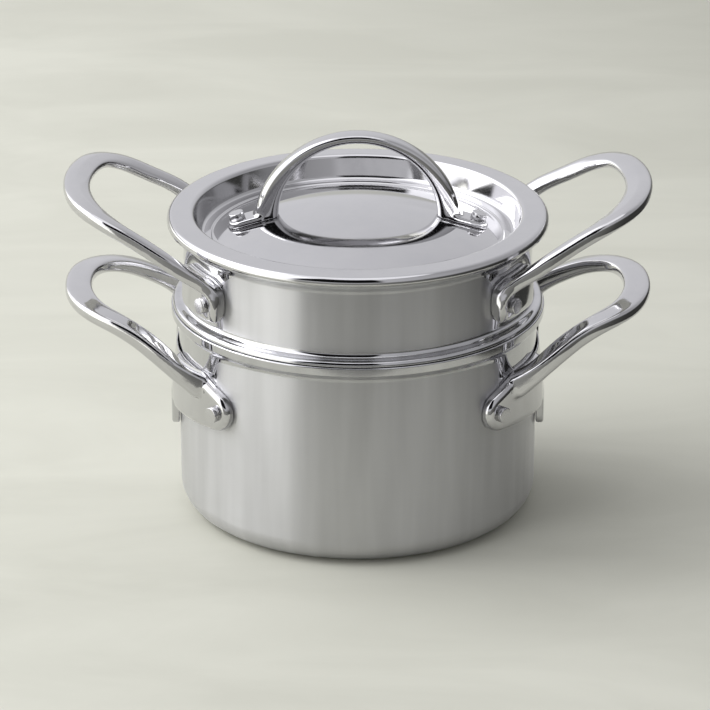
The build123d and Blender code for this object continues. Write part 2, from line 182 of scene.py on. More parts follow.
class LoopSizes(bpy.types.PropertyGroup):
    """Sizes of the cast loop handles"""
    foot_thickness: length("Foot thickness", "Thickness of the feet on the wall", 5.0)
    foot_round: length("Foot round", "Radius along the feet's outer edges", 2.9)
    foot_corner: length("Foot corner", "Corner radius of the feet's outline", 5.0)
    loop_width: length("Loop width", "Width of the flat end of the loop", 12.4)
    loop_thickness: length("Loop thickness", "Thickness of the flat end of the loop", 6.0)
    leg_width: length("Leg width", "Width of the slim legs", 9.4)
    root_sink: length("Root sink", "How deep a leg starts inside its foot", 2.0)
    pot_rivet_height: length("Pot rivet height", "Height of the pot handles' rivets", 65.2)
    pot_lobe: length("Pot foot lobe", "Radius of the foot round its rivet", 9.3)
    pot_lobe_shift: length("Pot lobe shift", "Lobe's centre, inward of the rivet", 2.1)
    pot_foot_span: length("Pot foot span", "Foot's length from the rivet inward", 44.3)
    pot_foot_rise: length("Pot foot rise", "Foot's top above the rivet", 13.8)
    pot_foot_drop: length("Pot foot drop", "Foot's lower edge below the rivet", 12.9)
    pot_root_rise: length("Pot root rise", "Leg's root above the rivet", 8.8)
    pot_root_width: length("Pot root width", "Width of the leg's root", 12.0)
    pot_root_thickness: length("Pot root thickness", "Thickness of the leg's root", 12.0)
    pot_leg_thickness: length("Pot leg thickness", "Thickness of the slim leg", 8.3)
    pot_loop_rise: length("Pot loop rise", "End of the loop above the rivet", 40.2)
    pot_loop_reach: length("Pot loop reach", "Middle of the loop's end from the axis", 128.2)
    insert_rivet_height: length("Insert rivet height", "Height of the insert handles' rivets", 113.8)
    insert_lobe: length("Insert foot lobe", "Radius of the foot round its rivet", 8.1)
    insert_lobe_shift: length("Insert lobe shift", "Lobe's centre, outward of the rivet", 1.2)
    insert_shoulder_rise: length("Insert shoulder rise", "Outer top corner's centre above the rivet", 5.2)
    insert_shoulder: length("Insert foot shoulder", "Radius of the foot's upper corners", 6.2)
    insert_foot_span: length("Insert foot span", "Foot's length from the rivet inward", 24.1)
    insert_foot_rise: length("Insert foot rise", "Foot's top above the rivet", 12.5)
    insert_root_rise: length("Insert root rise", "Leg's root above the rivet", 8.7)
    insert_root_width: length("Insert root width", "Width of the leg's end", 4.6)
    insert_root_thickness: length("Insert root thickness", "Thickness of the leg's end", 5.6)
    insert_leg_thickness: length("Insert leg thickness", "Thickness of the slim leg", 6.8)
    insert_loop_rise: length("Insert loop rise", "End of the loop above the rivet", 41.0)
    insert_loop_reach: length("Insert loop reach", "Middle of the loop's end from the axis", 127.8)
    bridge_gap: length("Bridge gap", "Gap between the wall and the bridge", 0.4)
    bridge_thickness: length("Bridge thickness", "Thickness of the bridge", 3.7)
    bridge_lean: FloatProperty(name="Bridge lean", default=0.75,
                               description="How much thinner the bridge is at its top, as a share")
    bridge_span: length("Bridge half span", "Half the bridge's length", 22.6)
    tongue_width: length("Tongue width", "Width of the short tongue", 22.0)
    tongue_drop: length("Tongue drop", "How far the tongue hangs below the bridge", 13.0)
    tongue_corner: length("Tongue corner", "Corner radius of the tongue", 3.0)
    pot_rivet_angle: bearing("Pot rivet angle", "Rivets' angle from the X axis", 42.7)
    pot_root_angle: bearing("Pot root angle", "Legs' angle from the X axis", 33.0)
    insert_rivet_angle: bearing("Insert rivet angle", "Rivets' angle from the X axis", 35.5)
    insert_root_angle: bearing("Insert root angle", "Legs' angle from the X axis", 35.3)


class RivetSizes(bpy.types.PropertyGroup):
    """Sizes of the rivets"""
    head_radius: length("Head radius", "Radius of the drum-shaped head", 3.6)
    head_height: length("Head height", "Height of the drum-shaped head", 3.0)
    head_round: length("Head round", "Radius on the head's edge", 0.45)
    shank_radius: length("Shank radius", "Radius of the shank", 2.4)
    inner_radius: length("Inner head radius", "Radius of the flat inner head", 5.0)
    inner_height: length("Inner head height", "Height of the flat inner head", 1.4)
    inner_round: length("Inner head round", "Radius on the inner head's edge", 0.7)
    lid_inner_radius: length("Lid inner head radius", "Radius of the lid rivets' inner head", 4.2)


class Finishes(bpy.types.PropertyGroup):
    """Colours and surface qualities"""
    polished: colour("Polished steel", "Colour of buffed stainless steel", "#D2D1D2")
    satin: colour("Satin steel", "Colour of brushed stainless steel", "#C9C9CB")
    plaster: colour("Plaster", "Colour of the floor", "#CECEC2")
    plaster_shade: colour("Plaster shade", "Darker strokes in the floor", "#C5C5B9")
    # Painted shade: the plaster's colour where light from the window falls away
    plaster_painted_shade: colour("Plaster far", "Plaster far from the window", "#A2A297")
    line_pitch: length("Brush line pitch", "Width of a brushed line, coarse enough to show", 0.35)
    # Painted reflection: width of the soft upright streaks painted into the brushed wall's colour
    painted_streak_width: length("Streak width", "Width of the soft upright shades on the brushed wall", 9.0)
    speck_size: length("Speck size", "Size of the specks on the tumbled rivets", 0.6)
    scuff_size: length("Scuff size", "Size of the faint clouds in the polish", 14.0)


class Fineness(bpy.types.PropertyGroup):
    """How finely the pieces are divided"""
    steps: IntProperty(name="Steps", description="Steps of each turned piece round the axis", default=192)
    round_steps: IntProperty(name="Round steps", description="Facets across each rounded corner", default=6)
    loop_steps: IntProperty(name="Loop steps", description="Sections along each loop", default=240)
    ring_points: IntProperty(name="Ring points", description="Points round each section", default=64)
    voxel: length("Casting fineness", "Size of the mesh that joins the parts of a casting", 0.44)
    soften: IntProperty(name="Soften", description="Passes that round a casting's inner corners", default=24)


def linear(code):
    """An sRGB hex code as a linear colour with alpha."""
    shares = [int(code[i:i + 2], 16) / 255 for i in (1, 3, 5)]
    return [s / 12.92 if s <= 0.04045 else ((s + 0.055) / 1.055) ** 2.4 for s in shares] + [1.0]


def add_node(tree, kind, settings=None, inputs=None):
    """Add a shader node with its settings, its constant inputs and its links."""
    node = tree.nodes.new("ShaderNode" + kind)
    for name, value in (settings or {}).items():
        setattr(node, name, value)
    for name, value in (inputs or {}).items():
        if isinstance(value, bpy.types.NodeSocket):
            tree.links.new(value, node.inputs[name])
        else:
            node.inputs[name].default_value = value
    return node


def calculate(tree, operation, *values):
    """The result of a math node, from sockets and constants."""
    node = add_node(tree, "Math", {"operation": operation}, dict(enumerate(values)))
    return node.outputs["Value"]


def noise(tree, place, width, detail, roughness):
    """Even noise whose features have that width."""
    return add_node(tree, "TexNoise", inputs={
        "Vector": place, "Scale": 1 / width, "Detail": detail, "Roughness": roughness}).outputs["Fac"]


def spread(tree, value, low, high, start=0.3, end=0.7):
    """A value between start and end, spread from low to high; noise mostly gives 0.3 to 0.7."""
    return add_node(tree, "MapRange", inputs={
        "Value": value, "From Min": start, "From Max": end, "To Min": low, "To Max": high}).outputs["Result"]


def blend(tree, share, one, other):
    """A colour between two."""
    return add_node(tree, "Mix", {"data_type": "RGBA"}, {
        "Factor": share, "A": one, "B": other}).outputs["Result"]


def new_material(name):
    """An empty node material, its tree, its output and the piece's own coordinates."""
    material = bpy.data.materials.new(name)
    material.use_nodes = True
    tree = material.node_tree
    tree.nodes.clear()
    place = add_node(tree, "TexCoord").outputs["Object"]
    return material, tree, add_node(tree, "OutputMaterial"), place


def add_object(name, data):
    """An object in the scene's collection."""
    item = bpy.data.objects.new(name, data)
    bpy.context.scene.collection.objects.link(item)
    return item


def add_mesh(name, bm, material):
    """An object made of a bmesh, with one material."""
    mesh = bpy.data.meshes.new(name)
    bm.to_mesh(mesh)
    bm.free()
    mesh.materials.append(material)
    return add_object(name, mesh)


def even_normals(piece):
    """Let the largest faces decide how a piece is shaded."""
    piece.modifiers.new("Even normals", "WEIGHTED_NORMAL").weight = 100


def finish_piece(bm, name, material, body, nodes, weighted=True):
    """Turn a bmesh into a smooth piece that stands for its CAD nodes."""
    for face in bm.faces:
        face.smooth = True
    piece = add_mesh(name, bm, material)
    if weighted:
        even_normals(piece)
    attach(piece, body)
    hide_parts(*nodes)
    return piece


def wire(bm, outline):
    """Edges through (radius, height, round) corners, each corner rounded by a vertex bevel."""
    fine = bpy.context.scene.boiler_fineness
    corners = [bm.verts.new((radius, 0, height)) for radius, height, ease in outline]
    for pair in zip(corners, corners[1:]):
        bm.edges.new(pair)
    points = [Vector((radius, height)) for radius, height, ease in outline]
    for index, (radius, height, ease) in enumerate(outline):
        if not ease:
            continue
        before = (points[index - 1] - points[index]).normalized()
        after = (points[index + 1] - points[index]).normalized()
        tangent = ease / math.tan(before.angle(after) / 2)
        bmesh.ops.bevel(bm, geom=[corners[index]], offset=tangent, offset_type="OFFSET",
                        segments=fine.round_steps, profile=0.5, affect="VERTICES", material=-1)


def lathe(outline):
    """A bmesh of an outline, spun once round Z and closed on the axis."""
    bm = bmesh.new()
    wire(bm, outline)
    bmesh.ops.spin(bm, geom=bm.verts[:] + bm.edges[:], cent=(0, 0, 0), axis=(0, 0, 1), dvec=(0, 0, 0),
                   angle=math.tau, steps=bpy.context.scene.boiler_fineness.steps, use_merge=True,
                   use_duplicate=False)
    bmesh.ops.remove_doubles(bm, verts=bm.verts[:], dist=MM / 1000)
    bmesh.ops.recalc_face_normals(bm, faces=bm.faces[:])
    return bm


def smooth_through(knots, values, at):
    """Natural cubic spline through values at knots, read at other places."""
    knots, values, at = np.asarray(knots, float), np.asarray(values, float), np.asarray(at, float)
    count, gap = len(knots), np.diff(knots)
    system, bend = np.eye(count), np.zeros_like(values)
    for i in range(1, count - 1):
        system[i, i - 1:i + 2] = gap[i - 1], 2 * (gap[i - 1] + gap[i]), gap[i]
        bend[i] = 6 * ((values[i + 1] - values[i]) / gap[i] - (values[i] - values[i - 1]) / gap[i - 1])
    bend = np.linalg.solve(system, bend)
    cell = np.clip(np.searchsorted(knots, at) - 1, 0, count - 2)
    h = gap[cell][:, None]
    a = ((knots[cell + 1] - at)[:, None]) / h
    b = 1 - a
    return (a * values[cell] + b * values[cell + 1]
            + ((a ** 3 - a) * bend[cell] + (b ** 3 - b) * bend[cell + 1]) * h ** 2 / 6)


def even_path(points, count):
    """Evenly spaced points on a smooth line through the given ones, and their directions."""
    points = np.array(points)
    knots = np.concatenate([[0], np.cumsum(np.linalg.norm(np.diff(points, axis=0), axis=1))])
    dense = smooth_through(knots, points, np.linspace(0, knots[-1], 20 * count))
    run = np.concatenate([[0], np.cumsum(np.linalg.norm(np.diff(dense, axis=0), axis=1))])
    places = np.stack([np.interp(np.linspace(0, run[-1], count), run, dense[:, i]) for i in range(3)], 1)
    return places, np.gradient(places, axis=0)


def add_ring(bm, middle, along, width, thickness, capped, fullness, shoulder):
    """One rounded-rectangle section, square to its direction; a shoulder slopes its inner top."""
    fine = bpy.context.scene.boiler_fineness
    along = Vector(along).normalized()
    inward = -Vector((middle[0], middle[1], 0)).normalized()
    steep = shoulder * STEEP_GAIN * max(0.0, abs(along.z) - STEEP_START)
    across = along.cross(Vector((0, 0, 1)) + inward * steep).normalized()
    upward = across.cross(along)
    ring = bmesh.ops.create_circle(bm, cap_ends=capped, segments=fine.ring_points, radius=1)["verts"]
    for vert in ring:
        x, y = vert.co.x, vert.co.y
        x = math.copysign(abs(x) ** fullness, x) * width / 2
        y = math.copysign(abs(y) ** fullness, y) * thickness / 2
        if x < 0 and y > 0:
            y -= (y + thickness * SHOULDER_START * shoulder) * shoulder * SHOULDER_FALL * abs(x) / width
        vert.co = Vector(middle) + across * x + upward * y
    return list({edge for vert in ring for edge in vert.link_edges if all(v in ring for v in edge.verts)})


def add_swept(bm, places, directions, widths, thicknesses, fullness, shoulder=0.0):
    """A bar along a path, bridged from section to section; a low fullness makes it boxy."""
    last = len(places) - 1
    rings = [add_ring(bm, places[i], directions[i], widths[i], thicknesses[i], i in (0, last), fullness,
                      shoulder) for i in range(last + 1)]
    for one, other in zip(rings, rings[1:]):
        bmesh.ops.bridge_loops(bm, edges=one + other)


def add_plate(bm, circles, thickness, edge_round, follow):
    """A plate whose outline is drawn tight round some circles, cut in strips that follow a surface."""
    points = [(x + r * math.cos(a), y + r * math.sin(a)) for x, y, r in circles
              for a in np.linspace(0, math.tau, 48, endpoint=False)]
    plate = bmesh.new()
    plate.faces.new([plate.verts.new((*points[i], 0)) for i in convex_hull_2d(points)])
    raised = bmesh.ops.extrude_face_region(plate, geom=plate.faces[:])["geom"]
    bmesh.ops.translate(plate, verts=[g for g in raised if isinstance(g, bmesh.types.BMVert)],
                        vec=(0, 0, thickness))
    bmesh.ops.recalc_face_normals(plate, faces=plate.faces[:])
    rim = [edge for edge in plate.edges if all(v.co.z > thickness / 2 for v in edge.verts)]
    bmesh.ops.bevel(plate, geom=rim, offset=edge_round, offset_type="OFFSET", segments=6, profile=0.5,
                    affect="EDGES", material=-1)
    low, high = min(p[0] for p in points), max(p[0] for p in points)
    for x in np.arange(low + MM, high, MM):
        bmesh.ops.bisect_plane(plate, geom=plate.verts[:] + plate.edges[:] + plate.faces[:],
                               plane_co=(x, 0, 0), plane_no=(1, 0, 0))
    for vert in plate.verts:
        vert.co = follow(vert.co)
    bmesh.ops.triangulate(plate, faces=plate.faces[:])
    mesh = bpy.data.meshes.new("plate")
    plate.to_mesh(mesh)
    plate.free()
    bm.from_mesh(mesh)
    bpy.data.meshes.remove(mesh)


def wall_follower(angle, seat_radius, height, mirrored=1):
    """Wraps a flat plate on a round wall about an upright line at an angle from +X."""
    outward = Vector((math.cos(angle), math.sin(angle), 0))
    sideways = Vector((-math.sin(angle), math.cos(angle), 0)) * mirrored

    def follow(point):
        depth = math.sqrt((seat_radius + point.z) ** 2 - point.x ** 2)
        return outward * depth + sideways * point.x + Vector((0, 0, height + point.y))

    return follow


def cast_piece(bm, name, material, body, node):
    """Join the overlapping parts of a casting into one skin with softened inner corners."""
    fine = bpy.context.scene.boiler_fineness
    bmesh.ops.recalc_face_normals(bm, faces=bm.faces[:])
    piece = finish_piece(bm, name, material, body, [node], weighted=False)
    skin = piece.modifiers.new("One skin", "REMESH")
    skin.mode = "VOXEL"
    skin.voxel_size = fine.voxel
    skin.use_smooth_shade = True
    soften = piece.modifiers.new("Buffed", "SMOOTH")
    soften.factor = 0.5
    soften.iterations = fine.soften


def cast_loop(bm, body, name, turned):
    """Turn a loop handle to its side of the body and cast it."""
    bmesh.ops.rotate(bm, verts=bm.verts[:], cent=(0, 0, 0), matrix=Matrix.Rotation(turned, 3, "Z"))
    cast_piece(bm, f"{body}_loop_{name}", polish(), body, f"{body}_handle_{name}")


def add_feet(bm, foot, seat, angle, height):
    """A loop's two mirrored feet on a wall; returns what wraps the far one."""
    s = bpy.context.scene.boiler_loops
    for side in NEAR_AND_FAR:
        follow = wall_follower(side * angle, seat, height, -side)
        add_plate(bm, foot, s.foot_thickness, s.foot_round, follow)
    return follow


def leg_root(face, angle, height):
    """Where a leg starts, sunk into its foot."""
    radius = face - bpy.context.scene.boiler_loops.root_sink
    return Vector((radius * math.cos(angle), radius * math.sin(angle), height))


def steel_surface(tree, output, base, roughness, anisotropic, bump):
    """The one metal shader that all the steel finishes share."""
    shader = add_node(tree, "BsdfPrincipled", inputs={
        "Base Color": base, "Metallic": 1.0, "Roughness": roughness, "Anisotropic": anisotropic})
    if bump:
        tree.links.new(bump, shader.inputs["Normal"])
    tree.links.new(shader.outputs["BSDF"], output.inputs["Surface"])
    return shader


def clouded_steel(name, width, grain, smooth, rough, relief):
    """Stainless steel whose tint, roughness and relief vary in clouds of that width and grain."""
    finishes = bpy.context.scene.boiler_finishes
    material, tree, output, place = new_material(name)
    clouds = noise(tree, place, width, 3.0, grain)
    tint = blend(tree, clouds, linear(finishes.polished), linear(finishes.satin))
    bump = None
    if relief:
        bump = add_node(tree, "Bump", inputs={
            "Strength": relief, "Distance": 0.03 * MM, "Height": clouds}).outputs["Normal"]
    steel_surface(tree, output, tint, spread(tree, clouds, smooth, rough), 0.0, bump)
    return material


def buffed_steel(name):
    """Stainless steel, buffed to a mirror: sharp reflections with faint clouds where the wheel passed."""
    return clouded_steel(name, bpy.context.scene.boiler_finishes.scuff_size, 0.6, 0.045, 0.10, 0.0)


def tumbled_steel(name):
    """Stainless steel as headed and tumbled: a soft even sheen with fine specks."""
    return clouded_steel(name, bpy.context.scene.boiler_finishes.speck_size, 0.7, 0.17, 0.27, 0.25)


def buffed_share(tree, parts, corner, middle_radius, foot_height, low_height, slope):
    """How buffed a wall is: 1 on its outside under the lip, by the feet and below low_height, else 0."""
    calc = partial(calculate, tree)
    corner_y, corner_height, corner_round = corner
    beside = calc("SUBTRACT", corner_y, calc("ABSOLUTE", parts["Y"]))
    line = calc("MULTIPLY_ADD", calc("MINIMUM", beside, 0.0), -slope, corner_height)
    above = calc("SUBTRACT", parts["Z"], line)
    side = calc("MAXIMUM", calc("ADD", beside, corner_round), 0.0)
    rise = calc("MAXIMUM", calc("ADD", above, corner_round), 0.0)
    reach = calc("SQRT", calc("ADD", calc("MULTIPLY", side, side), calc("MULTIPLY", rise, rise)))
    pocket = calc("MINIMUM", calc("SUBTRACT", reach, corner_round),
                  calc("SUBTRACT", parts["Z"], foot_height))
    outside = calc("MAXIMUM", calc("MAXIMUM", pocket, above), calc("SUBTRACT", low_height, parts["Z"]))
    radius = calc("SQRT", calc("ADD", calc("MULTIPLY", parts["X"], parts["X"]),
                               calc("MULTIPLY", parts["Y"], parts["Y"])))
    edge = calc("MINIMUM", outside, calc("SUBTRACT", radius, middle_radius))
    return spread(tree, edge, 0.0, 1.0, -0.5 * MM, 0.2 * MM)


def brushed_steel(name, **buffed_edges):
    """Stainless steel brushed round the wall: long soft highlights that run up and down it, with painted
    reflection streaks in its colour.
    """
    finishes = bpy.context.scene.boiler_finishes
    material, tree, output, place = new_material(name)
    calc = partial(calculate, tree)
    parts = add_node(tree, "SeparateXYZ", inputs={"Vector": place}).outputs
    along = calc("MULTIPLY", calc("ARCTAN2", parts["Y"], parts["X"]), 0.08)
    line_place = add_node(tree, "CombineXYZ", inputs={
        "X": calc("MULTIPLY", along, 0.02), "Y": parts["Z"]}).outputs["Vector"]
    lines = noise(tree, line_place, finishes.line_pitch, 4.0, 0.7)
    # Painted reflection: soft upright streaks that lighten and darken the wall's colour
    painted_streak_place = add_node(tree, "CombineXYZ", inputs={
        "X": along, "Y": calc("MULTIPLY", parts["Z"], 0.08)}).outputs["Vector"]
    painted_reflection_streaks = noise(tree, painted_streak_place, finishes.painted_streak_width, 2.0, 0.5)
    buffed = buffed_share(tree, parts, **buffed_edges)
    rough = add_node(tree, "Mix", {"data_type": "FLOAT"}, {
        "Factor": buffed, "A": spread(tree, lines, 0.30, 0.42), "B": 0.07})
    base = add_node(tree, "VectorMath", {"operation": "SCALE"}, {
        "Vector": linear(finishes.satin)[:3], "Scale": spread(tree, painted_reflection_streaks, 0.92, 1.05)})
    bump = add_node(tree, "Bump", inputs={
        "Strength": calc("MULTIPLY_ADD", buffed, -0.10, 0.10), "Distance": 0.02 * MM, "Height": lines})
    shader = steel_surface(tree, output, base.outputs["Vector"], rough.outputs["Result"], 0.85,
                           bump.outputs["Normal"])
    shader.inputs["Anisotropic Rotation"].default_value = 0.25
    tangent = add_node(tree, "Tangent", {"direction_type": "RADIAL", "axis": "Z"})
    tree.links.new(tangent.outputs["Tangent"], shader.inputs["Tangent"])
    return material


def trowelled_plaster():
    """Pale trowelled plaster: soft broad clouds with faint long strokes, and painted shade that darkens it
    away from the window.

    Reflections see only a board of it, which ends to the right of the object and in front of it.
    """
    finishes = bpy.context.scene.boiler_finishes
    material, tree, output, place = new_material("Plaster_trowelled")
    calc = partial(calculate, tree)
    parts = add_node(tree, "SeparateXYZ", inputs={"Vector": place}).outputs
    stretched = add_node(tree, "Mapping", inputs={
        "Vector": place, "Rotation": (0, 0, 0.35), "Scale": (1.0, 2.4, 1.0)}).outputs["Vector"]
    clouds = add_node(tree, "TexNoise", inputs={
        "Vector": stretched, "Scale": 6.0, "Detail": 5.0, "Roughness": 0.55, "Distortion": 0.6})
    tint = blend(tree, spread(tree, clouds.outputs["Fac"], 0.0, 1.0, 0.35, 0.65),
                 linear(finishes.plaster_shade), linear(finishes.plaster))
    # Painted shade: the floor is darkened to the right and further off, where light from the window falls
    # away
    far = add_node(tree, "VectorMath", {"operation": "LENGTH"}, {0: place}).outputs["Value"]
    painted_falloff = add_node(tree, "MapRange", {"interpolation_type": "SMOOTHSTEP"}, {
        "Value": calc("MULTIPLY", calc("ADD", parts["X"], 0.16), far),
        "From Min": -0.05, "From Max": 0.42, "To Min": 0.0, "To Max": 0.62}).outputs["Result"]
    shader = add_node(tree, "BsdfPrincipled", inputs={
        "Base Color": blend(tree, painted_falloff, tint, linear(finishes.plaster_painted_shade)), "Roughness": 0.9,
        "Specular IOR Level": 0.15})
    past = calc("MAXIMUM", calc("GREATER_THAN", parts["X"], BOARD_RIGHT),
                calc("LESS_THAN", parts["Y"], BOARD_FRONT))
    glossy = add_node(tree, "LightPath").outputs["Is Glossy Ray"]
    clear = add_node(tree, "BsdfTransparent").outputs["BSDF"]
    mix = add_node(tree, "MixShader", inputs={
        0: calc("MULTIPLY", past, glossy), 1: shader.outputs["BSDF"], 2: clear})
    tree.links.new(mix.outputs["Shader"], output.inputs["Surface"])
    return material


def shared(name, make):
    """The material of that name, made the first time that a piece asks for it."""
    return bpy.data.materials.get(name) or make(name)


def polish():
    """The buffed steel that the castings and the lid share."""
    return shared("Stainless_steel_mirror_buffed", buffed_steel)


class BOILER_OT_pot(bpy.types.Operator):
    """Turn the pot's clad shell with its flat base and rolled-out lip"""
    bl_idname = "boiler.pot"
    bl_label = "Pot shell"

    def execute(self, context):
        s = context.scene.boiler_pot
        outer = s.inner_radius + s.wall
        lip = outer + s.lip_overhang
        ease = s.lip_round / 3
        bm = lathe([
            (0, 0, 0), (outer, 0, s.base_round), (outer, s.height - s.lip_height - s.cove, s.cove),
            (lip, s.height - s.lip_height, ease), (lip, s.height, s.lip_round),
            (s.inner_radius, s.height, ease), (s.inner_radius, s.wall, s.inner_round), (0, s.wall, 0),
        ])
        material = brushed_steel("Stainless_steel_brushed_pot", corner=(52.4 * MM, 88.4 * MM, 3 * MM),
                                 middle_radius=s.inner_radius + s.wall / 2, foot_height=56 * MM,
                                 low_height=-MM, slope=0.11)
        finish_piece(bm, "pot_shell", material, "pot", ["pot_body"])
        return {"FINISHED"}


class BOILER_OT_insert(bpy.types.Operator):
    """Turn the insert's shell with its seating bead, neck and lip"""
    bl_idname = "boiler.insert"
    bl_label = "Insert shell"

    def execute(self, context):
        s = context.scene.boiler_insert
        outer = s.inner_radius + s.wall
        rim, floor, bead = s.seat + s.rise, s.seat - s.depth, outer + s.shoulder_overhang
        lip, lip_low = outer + s.lip_overhang, rim - s.lip_height
        slim, neck_low = s.neck_radius - s.neck_inset, s.seat - s.neck_depth
        bead_top, ease = s.seat + s.shoulder_height, s.lip_round / 3
        bm = lathe([
            (0, floor, 0), (slim, floor, s.base_round), (slim, neck_low - s.neck_taper, s.neck_taper),
            (s.neck_radius, neck_low, ease), (s.neck_radius, s.seat, 0), (bead, s.seat, ease),
            (bead, bead_top - s.shoulder_slope, s.shoulder_crown), (outer, bead_top, s.shoulder_root),
            (outer, lip_low - s.cove, s.cove), (lip, lip_low, ease), (lip, rim, s.lip_round),
            (s.inner_radius, rim, ease), (s.inner_radius, s.seat, s.neck_taper),
            (slim - s.wall, neck_low - s.neck_taper, s.neck_taper),
            (slim - s.wall, floor + s.wall, s.inner_round), (0, floor + s.wall, 0),
        ])
        material = brushed_steel("Stainless_steel_brushed_insert", corner=(52.2 * MM, 125.6 * MM, 3 * MM),
                                 middle_radius=s.inner_radius + s.wall / 2, foot_height=56 * MM,
                                 low_height=bead_top + 2.1 * MM, slope=1.0)
        finish_piece(bm, "insert_shell", material, "insert", ["insert_body"])
        return {"FINISHED"}


def dome_centre(s):
    """Height of the centre of the lid's dome, and the half angle that the dome spans."""
    edge_radius = s.radius - s.rim_width - s.recess_slope - s.ring_width - s.ring_taper
    half_angle = math.asin(edge_radius / s.dome_radius)
    edge_height = s.top - s.recess_depth - s.ring_step
    return edge_height - s.dome_radius * math.cos(half_angle), half_angle


class BOILER_OT_lid(bpy.types.Operator):
    """Turn the lid's pressed sheet: rim, skirt, recess, ring and dome"""
    bl_idname = "boiler.lid"
    bl_label = "Lid"

    def execute(self, context):
        s = context.scene.boiler_lid
        centre, half_angle = dome_centre(s)
        rim_inner, floor = s.radius - s.rim_width, s.top - s.recess_depth
        recess = rim_inner - s.recess_slope
        dome = [(s.dome_radius * math.sin(a), centre + s.dome_radius * math.cos(a), 0)
                for a in np.linspace(half_angle, 0, 40)]
        bm = lathe([
            (s.radius, s.top - s.skirt, 0), (s.radius, s.top - s.rim_fall, s.edge_round),
            (rim_inner, s.top, s.recess_round), (recess, floor, s.recess_round),
            (recess - s.ring_width, floor, s.ring_round),
        ] + dome)
        bm.faces.ensure_lookup_table()
        top_face = max(bm.faces, key=lambda face: -face.calc_center_median().xy.length)
        if top_face.normal.z < 0:
            bmesh.ops.reverse_faces(bm, faces=bm.faces[:])
        piece = finish_piece(bm, "lid_sheet", polish(), "lid", ["lid_shell"], weighted=False)
        sheet = piece.modifiers.new("Gauge", "SOLIDIFY")
        sheet.thickness = s.gauge
        sheet.offset = -1
        even_normals(piece)
        return {"FINISHED"}


class BOILER_OT_lid_handle(bpy.types.Operator):
    """Cast the lid's arched handle on its two small feet"""
    bl_idname = "boiler.lid_handle"
    bl_label = "Lid handle"

    def execute(self, context):
        s = context.scene.boiler_lid
        centre = dome_centre(s)[0]
        top = centre + s.dome_radius + s.arch_rise
        outer_centre, inner_centre = top - s.arch_outer, top - s.arch_crown - s.arch_inner
        places, directions, widths, depths = [], [], [], []
        for angle in np.linspace(-ARCH_ANGLE, ARCH_ANGLE, context.scene.boiler_fineness.loop_steps):
            ray = Vector((math.sin(angle), 0, math.cos(angle)))
            drop = Vector((0, 0, outer_centre - inner_centre))
            along = -ray.dot(drop)
            inner = along + math.sqrt(along ** 2 - drop.length_squared + s.arch_inner ** 2)
            inner -= s.leg_flare * max(0.0, (abs(angle) - FLARE_START) / (ARCH_ANGLE - FLARE_START)) ** 2
            places.append(Vector((0, 0, outer_centre)) + ray * (s.arch_outer + inner) / 2)
            directions.append(Vector((math.cos(angle), 0, -math.sin(angle))))
            widths.append(s.arch_width)
            depths.append(s.arch_outer - inner)
        bm = bmesh.new()
        add_swept(bm, places, directions, widths, depths, ARCH_FULLNESS)
        for side in NEAR_AND_FAR:
            def follow(point, side=side):
                radius = s.dome_radius + point.z
                height = math.sqrt(radius ** 2 - point.x ** 2 - point.y ** 2)
                return Vector((side * point.x, point.y, centre + height))
            end = s.foot_width / 2
            add_plate(bm, [(s.foot_inside + end, 0, end), (s.foot_reach - end, 0, end)],
                      s.foot_thickness, s.foot_thickness / 4, follow)
        middle = Vector((0, 0, centre))
        for vert in bm.verts:
            place = vert.co - middle
            if place.length < s.dome_radius:
                vert.co = middle + place * (s.dome_radius / place.length)
        cast_piece(bm, "lid_arch", polish(), "lid", "lid_handle")
        return {"FINISHED"}


def loop_bar(bm, shares, root, reach, end_height, root_size, leg_thickness, hook):
    """One loop from foot to foot, along its middle line; a hook leads it into the feet."""
    s = bpy.context.scene.boiler_loops
    fine = bpy.context.scene.boiler_fineness
    half = hook + [(root.x + (reach - root.x) * out, root.y * side, root.z + (end_height - root.z) * rise)
                   for out, side, rise in shares]
    points = [(x, -y, z) for x, y, z in half] + half[-2::-1]
    places, directions = even_path(points, fine.loop_steps)
    if not hook:
        directions[0], directions[-1] = (root.x, -root.y, 0), (-root.x, -root.y, 0)
    sizes = []
    forms = (HOOK_FORM_SHARES, HOOKED_LOOP_SHARES) if hook else (ROOT_FORM_SHARES, LOOP_FORM_SHARES)
    for root_form, loop_form in zip(*forms):
        sizes.append([leg + root_form * (wide - leg) + loop_form * (flat - leg) for leg, wide, flat in (
            (s.leg_width, root_size[0], s.loop_width), (leg_thickness, root_size[1], s.loop_thickness))])
    sizes += sizes[-2::-1]
    sizes = smooth_through(np.linspace(0, 1, len(sizes)), sizes, np.linspace(0, 1, fine.loop_steps))
    add_swept(bm, places, directions, sizes[:, 0], sizes[:, 1], LOOP_FULLNESS, 1.0 if hook else 0.0)


